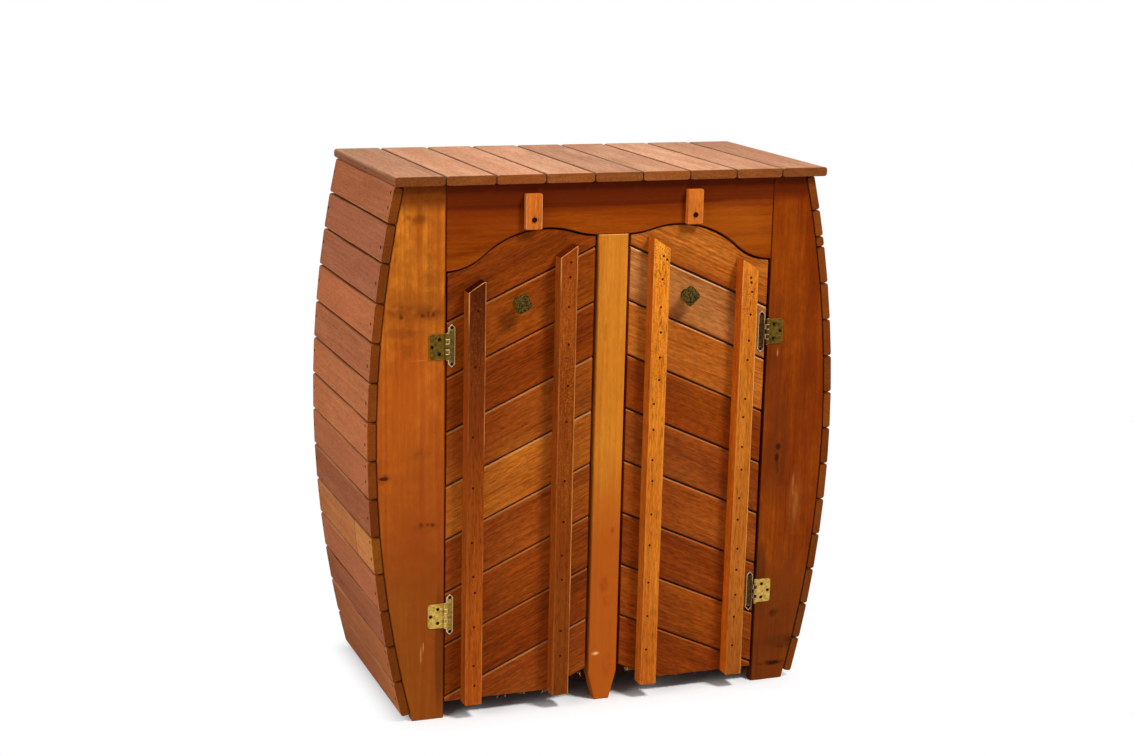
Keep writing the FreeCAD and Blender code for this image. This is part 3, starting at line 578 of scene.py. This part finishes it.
# Sunned and dry; worn arrises show bare timber.
top_wood = wood("sunned_top_boards", "#e2aa86", "#b07a58", "#d08c66", "#ecc8a0",
                fibres=0.4, patches=0.4, pores=0.45, flecks=0.16, roughness=0.65)


def grid(*coordinates):
    """Points from x, y and z, whose shapes broadcast together."""
    return np.stack(np.broadcast_arrays(*coordinates), -1)


def top_board(low, high, tone):
    """One board of the top between two corners, running along Y, bare at its back end."""
    width, length, thick = high - low
    warp = chance.uniform(-TOP_WARP, TOP_WARP, 2)

    def place(along, share, inset, depth):
        x = low.x + share * width + inset + bow(along / length, share, warp)
        return grid(x, low.y + along, high.z - depth)

    heart = new_heart(0.05, 0.03, 0.10)
    section = eased_section(thick, TOP_EASE, TOP_EASE)
    outer = ((section[:, 0] < 0.5) & (low.x < -TOP_OUTER)) | (
        (section[:, 0] > 0.5) & (high.x > TOP_OUTER))
    flank = np.where(outer[:, None], FLANK_SHADE, TOP_JOINT_SHADE)
    section[:, 3] *= np.where(outer & (low.x > 0), 1.0, TOP_RUB)
    return board_shell(section, length, SLAT_END_EASE, place,
                       ([0, 1, 0], [1, 0, 0], [0, 0, 1]), heart, [tone] * 3, flank=flank,
                       end_tone=np.array(TOP_END) * chance.uniform(0.75, 1.15),
                       end_wear=(0.2, 1.8))


for i, tone in enumerate(TOP_TONES):
    node = "top_board_%d" % (i + 1)
    make_piece("top_plank_%d" % (i + 1), [top_board(*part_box(node), tone)], top_wood,
               "carcass", [node])

# ---- door boards ----
# Nine diagonal boards to a door, rising towards the post, cut to the door's outline.
# Dark red-brown hardwood with open grain; every board was cut from another plank.
CHEVRON_SLOPE = math.radians(24.2)
# Each board, from the top: how pale, how grey (about 0 to 1), the weight of its rings.
DOOR_TONES = {"left": ((0.0, 0.05, 0.2), (0.32, 0, 0.2), (0.16, 0, 0.3), (0.5, 0.12, 0.3),
                       (0.9, 0.08, 0.2), (0.4, 0.12, 0.3), (0.22, 0.03, 0.3),
                       (0.1, 0, 0.3), (0.35, 0.13, 0.3)),
              "right": ((1.0, 0.18, 0.4), (0.95, 0.68, 0.2), (1.1, 0.2, 0.3),
                        (0.12, 0.05, 0.3), (0.0, 0.25, 0.3), (0.45, 0.15, 0.3),
                        (0.0, 0.1, 0.3), (0.38, 0, 0.2), (0.1, 0, 0.2))}
# Pale grain, dark grain, and arrises worn and painted pale as a highlight: on the darkest
# board, the palest, the greyest.
DOOR_PALE = ("#8a3a02", "#cc741e", "#c08450")
DOOR_DARK = ("#481400", "#8c3e08", "#80481e")
DOOR_WORN_AND_LIT = ("#c06c30", "#e0a060", "#f4d0a8")


def between(shades, pale, grey):
    """The hex colour between dark and pale shades, drawn towards the grey one."""
    dark, light, dull = (rgb(code) for code in shades)
    mixed = dark + (light - dark) * pale
    return "#%02x%02x%02x" % tuple(np.round(mixed + (dull - mixed) * grey).astype(int))


for side, turn in (("left", CHEVRON_SLOPE), ("right", -CHEVRON_SLOPE)):
    for i, (pale, grey, rings) in enumerate(DOOR_TONES[side]):
        heart = (chance.uniform(0, 9), 0.25 + chance.uniform(0, 0.05),
                 chance.uniform(-0.9, 0.9))
        name = "%s_door_board_%d" % (side, i + 1)
        face, deep, worn_and_lit = (between(shades, pale, grey)
                            for shades in (DOOR_PALE, DOOR_DARK, DOOR_WORN_AND_LIT))
        # Oil sunk into open grain; pale along the upper arris, partly rubbed and partly a
        # painted highlight, and painted shade along the lower.
        dress([name], wood("oiled_" + name, face, deep, "#8e3a08", worn_and_lit,
                           turn=(0, turn, 0), heart=heart, ring_mm=4, rings=rings,
                           fibres=0.35, patches=0.45, flecks=0.28, roughness=0.5,
                           relief=0.35))

# ---- battens ----
# Two square bars nailed down each door, their tops cut on a slope that falls away from the
# post.  Orange-brown timber with open end grain at the cut and pale, rubbed arrises; those
# on the right are also painted lighter as a highlight.
BATTEN_CUT = math.radians(33)
BATTEN_EASE = 2 * MM
BATTEN_FLANK = (0.9, 0.8, 0.75)
LEFT_RUB, RIGHT_RUB_AND_HIGHLIGHT = 0.25, 1.3           # how far the arrises on either side are rubbed; the right ones also take a painted highlight
PEAK_FROM = 0.9                           # above this share of the height all are alike
HAIR = 0.001 * MM                         # slack for comparing places
UP_AXES = [0, 0, 1], [1, 0, 0], [0, 1, 0]  # along, across and into an upright bar
CHIPPED, CHIP, CHIP_SHARE = "left_outer", 3 * MM, 1 / 8    # it has lost its peak's corner
# Tone at the foot, at the peak and on the left side of each batten.
BATTEN_TONES = {"left_outer": ((0.82, 0.57, 0.5), (0.16, 0.085, 0.04), (0.7, 0.55, 0.8)),
                "left_inner": ((0.4, 0.32, 0.25), (0.56, 0.36, 0.26), (0.68, 0.52, 0.6)),
                "right_inner": ((0.98, 0.86, 0.9), (1.55, 1.8, 1.6), (1.1, 0.95, 0.9)),
                "right_outer": ((0.72, 0.74, 1.15), (1.34, 1.42, 1.45), (1.2, 0.9, 0.6))}
# Nails: height and distance from the batten's left edge, mm.
BATTEN_NAILS = {
    "left_outer": ((485, 9), (400, 10), (308, 9), (250, 12), (222, 15), (163, 14), (95, 14),
                   (60, 16), (600, 12), (690, 15)),
    "left_inner": ((762, 17), (738, 16), (690, 15), (628, 16), (560, 16), (500, 15),
                   (400, 14), (330, 14), (272, 12), (230, 13), (140, 13), (96, 13)),
    "right_inner": ((766, 17), (760, 23), (728, 16), (682, 15), (640, 16), (598, 16),
                    (560, 16), (520, 8), (476, 9), (424, 9), (388, 10), (330, 10),
                    (276, 9), (210, 9), (150, 9), (90, 9)),
    "right_outer": ((724, 15), (716, 16), (700, 18), (662, 17), (618, 16), (585, 15),
                    (518, 14), (487, 12), (435, 12), (395, 13), (345, 11), (307, 10),
                    (255, 12), (217, 12), (172, 12), (132, 11), (80, 10))}
BATTEN_FACE = -201.5                      # y of their fronts, mm
# Worm pits near the top of one batten, pale filler in the pores of two others.
BATTEN_SPECKS = [(76, 755, 30, 70, 0.5, "#4a1a00"), (76, 600, 26, 130, 0.35, "#5a2406"),
                 (236, 690, 30, 60, 0.4, "#4a1c04"), (-84, 640, 30, 170, 0.14, "#d08c40"),
                 (-84, 440, 30, 140, 0.08, "#d08c40"), (-237, 640, 26, 110, 0.07, "#b88040")]
# Orange oil over coarse timber, with dark pits.
batten_wood = wood("oiled_battens", "#c67420", "#964a0a", "#b05812", "#e49c50", ring_mm=5,
                   rings=0.2, fibres=0.4, patches=0.4, pores=0.6, relief=0.4,
                   specks=BATTEN_SPECKS, face=BATTEN_FACE)


def batten(low, high, side, tones, chip):
    """A batten between two corners, its top falling away from the post.

    The chip takes a wedge off the peak, over its share of the width.  The tone runs from
    the foot's to the peak's, apart from the left side's own.
    """
    width, thick, length = high - low
    fall = width * math.tan(BATTEN_CUT)

    def place(along, share, inset, depth):
        x = low.x + share * width + inset
        off_post = (x - low.x if side == "right" else high.x - x) / width
        top = length - fall * off_post - chip * (1 - off_post / CHIP_SHARE).clip(0)
        return grid(x, low.y + depth, low.z + along / length * top)

    points, faces, grain, shade, edge = board_shell(
        eased_section(thick, BATTEN_EASE, BATTEN_EASE / 2), length, 0.5 * MM, place,
        UP_AXES, new_heart(0.04, 0.2, 0.24), (1, 1, 1), parts=24, flank=BATTEN_FLANK,
        end_wear=(0.8, 1.8))
    foot, peak, left = np.array(tones)
    up = ((points[:, 2:] - low.z) / length).clip(0, 1)
    on_left = (points[:, 0] < low.x + HAIR) & (points[:, 1] > low.y + FACE_SKIN)
    tone = np.where(on_left[:, None], left, foot + (peak - foot) * up)
    # The left arrises are rubbed; the right ones are paler, partly rubbed and partly a painted
    # highlight.
    rub_and_highlight = np.where(points[:, 0] > (low.x + high.x) / 2, RIGHT_RUB_AND_HIGHLIGHT, LEFT_RUB)
    return points, faces, grain, shade * tone, edge * np.where(up[:, 0] > PEAK_FROM, 1, rub_and_highlight)


for key, tones in BATTEN_TONES.items():
    side, where = key.split("_")
    node = "%s_door_%s_batten" % (side, where)
    low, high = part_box(node)
    make_piece(key + "_bar", [batten(low, high, side, tones, CHIP * (key == CHIPPED))],
               batten_wood, side + "_door", [node])
    spots = [(low.x + across * MM, low.y, up * MM) for up, across in BATTEN_NAILS[key]]
    make_piece(key + "_nails", heads(np.array(spots), [(0, -1, 0)] * len(spots), NAIL),
               rusty_nail, side + "_door")

# ---- torn fibres ----
# The saw tore the feet of the door boards, and pale fibres hang from them in tufts.
FOOT = 28                                 # the doors' lower edge, mm
# Each tuft: x, height, half width and number of fibres.
TUFTS = {"left": ((-176, FOOT, 8, 6), (-141, FOOT, 5, 8), (-100, 26, 6, 12),
                  (-230, FOOT, 20, 5), (-38, 50, 3, 4)),
         "right": ((49, 50, 5, 5), (130, FOOT, 30, 7), (190, FOOT, 12, 5), (260, FOOT, 10, 4))}
FIBRE_R = 0.28                            # mm
TORN_DEPTH = (-175, -162)                 # the thickness of the boards they hang from, mm


def fibres(tufts, steps=7):
    """Thin curls: each runs down and out from the foot and bows by a half sine.

    Three sides round a path of start + reach times t + bow times sin(pi t), tapering
    with the square root of 1.02 - t to a blunt tip; all in mm.
    """
    counts = [tuft[3] for tuft in tufts]
    x, z, half = (np.repeat([tuft[k] for tuft in tufts], counts) for k in range(3))
    total = sum(counts)
    start = np.stack([x + half * chance.uniform(-1, 1, total),
                      chance.uniform(*TORN_DEPTH, total), z + 0.4], -1)
    reach = np.stack([chance.uniform(-5, 5, total), chance.uniform(-5, 1, total),
                      -chance.uniform(1.5, 8, total)], -1)
    bow = chance.uniform(-3, 3, (total, 3))
    t = np.linspace(0, 1, steps)[None, :, None]
    path = start[:, None] + reach[:, None] * t + bow[:, None] * np.sin(math.pi * t)
    turn = np.linspace(0, 2 * math.pi, 3, endpoint=False)
    ring = np.stack([np.cos(turn), np.sin(turn), 0 * turn], -1)
    thin = FIBRE_R * np.sqrt(1.02 - t)[..., None]
    strands = (path[:, :, None] + thin * ring[None, None]) * MM
    return [(strand.reshape(-1, 3), tube_faces(steps, 3)) for strand in strands]


# Bare broken timber, nearly white against the oiled boards.
torn_fibre = mottled("torn_wood_fibres", "#c8a070", "#f0dcc0", 500.0, 0.9)
for side, tufts in TUFTS.items():
    make_piece(side + "_torn_fibres", fibres(tufts), torn_fibre, side + "_door",
               smooth=True)

# ---- hinges ----
# Four surface hinges of stamped brass sheet.  The upper pair has gone olive brown and the
# lower pair is still bright; each leaf is held by screws through its holes.
HINGE_SIDES = {"left": (-1, (180, 631)), "right": (1, (167, 627))}   # heights, mm
BETWEEN_PAIRS = 0.4                       # a height between the lower hinges and the upper
# Each screw: its distance from the cupboard's middle and its height on the hinge, mm.
FRAME_SCREWS = ((293, -12), (293, 12), (305, 0))
DOOR_SCREWS = ((271.5, -29.5), (271.5, 29.5))
LEAF_FACE, DOOR_LEAF_FACE = -180.0, -177.0    # y of the leaves' fronts, mm
# A slotted cross in a shallow dome, as (radius, height) rows.
SCREW = [(0.3 * MM, 0.1 * MM), (0.9 * MM, 0.15 * MM), (1.1 * MM, 0.75 * MM),
         (2.2 * MM, 0.6 * MM), (2.9 * MM, 0.15 * MM), (2.9 * MM, -0.5 * MM)]


def hinge_brass(name, low_pair, high_pair, rim, rim_width):
    """Brass of one mottled colour on the lower hinges and another on the upper ones.

    Its rim is where the shading normal of a rounding of the given width leans over.
    """
    material, tree = new_material(name)
    spot, _, spread = mottling(tree, 220.0)
    shades = [add(tree, "MixRGB", {"Fac": spread, "Color1": linear(a), "Color2": linear(b)})
              for a, b in (low_pair, high_pair)]
    height = add(tree, "SeparateXYZ", {0: spot}).outputs["Z"]
    above = add(tree, "Math", {0: height, 1: BETWEEN_PAIRS}, operation="GREATER_THAN")
    colour = add(tree, "MixRGB", {"Fac": above, "Color1": shades[0], "Color2": shades[1]})
    rounded = add(tree, "Bevel", {"Radius": rim_width}, samples=8)
    flat = add(tree, "NewGeometry").outputs["True Normal"]
    lean = add(tree, "VectorMath", {0: rounded, 1: flat},
               operation="DOT_PRODUCT").outputs["Value"]
    # The rim takes the rim colour; on the door leaves it is partly rubbed brass and partly a
    # painted highlight.
    rim_rub_and_highlight = add(tree, "MapRange", {"Value": lean, "From Min": 0.99, "From Max": 0.9})
    colour = add(tree, "MixRGB", {"Fac": rim_rub_and_highlight, "Color1": colour, "Color2": linear(rim)})
    shader = add(tree, "BsdfPrincipled", {"Base Color": colour, "Roughness": 0.45,
                                          "Specular IOR Level": 0.08})
    add(tree, "OutputMaterial", {"Surface": shader})
    return material


# Frame leaves: bright gold below, olive brown above, with rubbed rims.
frame_leaf_brass = hinge_brass("brass_frame_leaves", ("#9c7a28", "#d0ac58"),
                               ("#453208", "#6a5010"), "#8c6c2a", 1.2 * MM)
# Left door leaves: gold below, dull above, with ivory rims, partly rubbed brass and partly a
# painted highlight.
left_leaf_brass = hinge_brass("brass_left_door_leaves", ("#8a6a20", "#c09a4c"),
                              ("#54400e", "#8c6e2c"), "#fae2b0", 2.6 * MM)
# Right door leaves: gone dark brown inside ivory rims, partly rubbed brass and partly a
# painted highlight.
right_leaf_brass = hinge_brass("brass_right_door_leaves", ("#2c1804", "#5a3c12"),
                               ("#2a1402", "#543614"), "#ffe4b0", 1.8 * MM)
dress(["left_hinge_frame_leaves", "right_hinge_frame_leaves"], frame_leaf_brass)
dress(["left_hinge_door_leaves"], left_leaf_brass)
dress(["right_hinge_door_leaves", "hinge_pins"], right_leaf_brass)
# Blackened screws, that read as dark dots.
dark_screw = mottled("blackened_screws", "#100602", "#261408", 600.0, 0.6, 0.03)
for side, (sign, heights) in HINGE_SIDES.items():
    for body, face, screws in (("carcass", LEAF_FACE, FRAME_SCREWS),
                               (side + "_door", DOOR_LEAF_FACE, DOOR_SCREWS)):
        spots = [(sign * out * MM, face * MM, (height + up) * MM)
                 for height in heights for out, up in screws]
        make_piece("%s_hinge_screws_on_%s" % (side, body),
                   heads(np.array(spots), [(0, -1, 0)] * len(spots), SCREW, 20, 0.5),
                   dark_screw, body, smooth=True)

# ---- turn buttons ----
# A small block of pale timber on each side, on one round-headed screw, turned up clear of
# the doors.  Its arrises are rubbed bare.
BUTTON_EASE = 1.2 * MM
# Orange oil over pale timber, with open pores.
button_wood = wood("oiled_turn_buttons", "#cc7428", "#a85014", "#b85a16", "#ecb888",
                   ring_mm=5, fibres=0.4, patches=0.3, pores=0.5, roughness=0.5)


def turn_button(low, high):
    """A block between two corners, its grain upright."""
    width, thick, length = high - low

    def place(along, share, inset, depth):
        return grid(low.x + share * width + inset, low.y + depth, low.z + along)

    points, faces, grain, shade, edge = board_shell(
        eased_section(thick, BUTTON_EASE, BUTTON_EASE), length, BUTTON_EASE, place,
        UP_AXES, new_heart(0.02, 0.2, 0.24), (1, 1, 1), parts=6)
    return points, faces, grain, np.ones_like(shade), edge


for side in ("left", "right"):
    node = side + "_turn_button"
    make_piece(side + "_button_block", [turn_button(*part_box(node))], button_wood, node,
               [node])
dress(["turn_button_screws"], dark_screw)

# ---- knobs ----
# Cast brass knobs, square with rounded corners, with a four-petalled relief round a small
# boss.  Lacquer and dirt have turned them nearly black in the hollows.
KNOB_MIDDLES = {"left": (-160, 697, 25), "right": (131, 697, 43)}    # x, z, turn in degrees
DOOR_FACE = -175.5                        # y of the doors' fronts, mm
PETAL_LIFT, VEIN_LIFT = 0.55, 0.25        # mm
# Each ring: half width, distance off the door, squareness (0 round, 1 square), petals.
KNOB_RINGS = [(1.0, 25.0, 0, 0), (2.4, 24.6, 0, 0), (3.1, 23.8, 0, 0), (3.5, 22.6, 0, 0),
              (4.6, 22.8, 0.2, 0.5), (6.6, 23.4, 0.5, 1), (8.8, 23.5, 0.8, 1),
              (10.6, 23.0, 1, 0.7), (12.2, 22.6, 1, 0), (13.3, 21.8, 1, 0),
              (13.8, 20.4, 1, 0), (13.6, 18.6, 1, 0), (12.6, 17.8, 1, 0), (8.0, 17.5, 0.4, 0),
              (5.2, 16.6, 0, 0), (5.0, 10.0, 0, 0), (5.4, 5.0, 0, 0), (7.4, 3.4, 0, 0),
              (8.4, 2.4, 0, 0), (8.5, 0.0, 0, 0)]


def knob_shell(x, z, turn, sides=64):
    """Rings carried out from the door, each between a circle and a rounded square.

    The square is |cos|^5 + |sin|^5 = 1 in polar form; the petals raise a ring by a
    cosine of four times the angle, and a cosine of sixteen times it veins them.
    """
    half, off, square, petals = (column[:, None] for column in np.array(KNOB_RINGS).T)
    angle = np.linspace(0, 2 * math.pi, sides, endpoint=False)[None]
    corner = (np.abs(np.cos(angle)) ** 5 + np.abs(np.sin(angle)) ** 5) ** (-1 / 5)
    reach = half * (1 + square * (corner - 1))
    lift = petals * (PETAL_LIFT * np.cos(4 * angle) + VEIN_LIFT * np.cos(16 * angle + half))
    flat = angle + math.radians(turn)
    points = np.stack([x + reach * np.cos(flat), DOOR_FACE - off - lift,
                       z + reach * np.sin(flat)], -1).reshape(-1, 3) * MM
    return points, tube_faces(len(KNOB_RINGS), sides)


# Nearly black brass with olive and straw specks where it is rubbed.
knob_brass = mottled("blackened_knob_brass", "#060200", "#604c1c", 420.0, 0.5, 0.05)
for side, middle in KNOB_MIDDLES.items():
    make_piece(side + "_knob", [knob_shell(*middle)], knob_brass, side + "_door",
               [side + "_door_knob"], smooth=True)

# ---- studio ----
# A pale floor that keeps the shadows near the cupboard, white all round to the eye, a soft
# lamp high on the right and a wider, weaker one on the left.
FOOTPRINT = (0.31, 0.17, 0)               # half the cupboard's footprint
SHADOW_REACH = 0.08                       # how far from it shadows are kept
FLOOR_HALF = 30                           # half the floor's width
FLOOR_GREY, SKY_LEVEL = "#f6f6f6", 0.2
floor_mesh = bpy.data.meshes.new("studio_floor")
floor_mesh.from_pydata([(x * FLOOR_HALF, y * FLOOR_HALF, 0) for x, y in
                        ((-1, -1), (1, -1), (1, 1), (-1, 1))], [], [(0, 1, 2, 3)])
floor = bpy.data.objects.new("studio_floor", floor_mesh)
bpy.context.scene.collection.objects.link(floor)
# Matt paper, shaded near the cupboard and plain white further out.
paper, tree = new_material("white_paper_floor")
spot = add(tree, "TexCoord").outputs["Object"]
spot = add(tree, "VectorMath", {0: spot}, operation="ABSOLUTE")
spot = add(tree, "VectorMath", {0: spot, 1: FOOTPRINT}, operation="SUBTRACT")
spot = add(tree, "VectorMath", {0: spot, 1: (0, 0, 0)}, operation="MAXIMUM")
away = add(tree, "VectorMath", {0: spot}, operation="LENGTH").outputs["Value"]
fade = add(tree, "MapRange", {"Value": away, "From Max": SHADOW_REACH},
           interpolation_type="SMOOTHSTEP")
matt = add(tree, "BsdfDiffuse", {"Color": linear(FLOOR_GREY)})
glow = add(tree, "Emission", {"Color": (1, 1, 1, 1), "Strength": 1.0})
seen = add(tree, "LightPath").outputs["Is Camera Ray"]
seen = add(tree, "Math", {0: seen, 1: fade}, operation="MULTIPLY")
blend = add(tree, "MixShader", {0: seen, 1: matt, 2: glow})
add(tree, "OutputMaterial", {"Surface": blend})
floor_mesh.materials.append(paper)

world = bpy.data.worlds.new("studio_world")
bpy.context.scene.world = world
world.use_nodes = True
tree = world.node_tree
tree.nodes.clear()
path = add(tree, "LightPath").outputs
seen = add(tree, "Math", {0: path["Is Camera Ray"], 1: path["Is Glossy Ray"]},
           operation="MAXIMUM")
seen = add(tree, "Math", {0: seen, 1: path["Is Transmission Ray"]}, operation="MAXIMUM")
level = add(tree, "MapRange", {"Value": seen, "To Min": SKY_LEVEL})
sky = add(tree, "Background", {"Color": (1, 1, 1, 1), "Strength": level})
add(tree, "OutputWorld", {"Surface": sky})

# Each lamp: place, width and power in watts.
LAMPS = {"key": ((1.15, -1.75, 3.0), 0.8, 100.0), "fill": ((-2.9, -1.2, 1.6), 2.2, 58.0)}
AIM = Vector((0, 0, 0.45))             # the middle of the cupboard's height
for name, (place, size, power) in LAMPS.items():
    lamp = bpy.data.lights.new(name, "AREA")
    lamp.shape = "DISK"
    lamp.size = size
    lamp.energy = power
    holder = bpy.data.objects.new(name, lamp)
    bpy.context.scene.collection.objects.link(holder)
    holder.location = place
    holder.rotation_euler = (AIM - holder.location).to_track_quat("-Z", "Y").to_euler()

# ---- camera ----
# It stands left of the middle, a little above the top, and looks down to the right through
# a long lens, rolled by just over a degree.
FRAME_W = 1134                            # the frame's width in pixels
FOCAL_PX = 2001.2
AXIS_DOWN_PX = 46                         # the lens axis, below the frame's middle
CAMERA_AT = Vector((-1.1910, -3.1510, 1.2985))
YAW, PITCH, ROLL = (math.radians(a) for a in (20.597, 14.284, 1.294))
ahead = Vector((math.sin(YAW) * math.cos(PITCH), math.cos(YAW) * math.cos(PITCH),
                   -math.sin(PITCH)))
level_right = Vector((math.cos(YAW), -math.sin(YAW), 0))
level_up = level_right.cross(ahead)
right = level_right * math.cos(ROLL) + level_up * math.sin(ROLL)
lens = bpy.data.cameras.new("camera")
lens.sensor_width = 36
lens.lens = FOCAL_PX / FRAME_W * lens.sensor_width
lens.shift_y = AXIS_DOWN_PX / FRAME_W
camera = bpy.data.objects.new("camera", lens)
bpy.context.scene.collection.objects.link(camera)
camera.matrix_world = Matrix((right, right.cross(ahead), -ahead)).transposed().to_4x4()
camera.location = CAMERA_AT
bpy.context.scene.camera = camera
bpy.context.scene.view_settings.view_transform = "Standard"
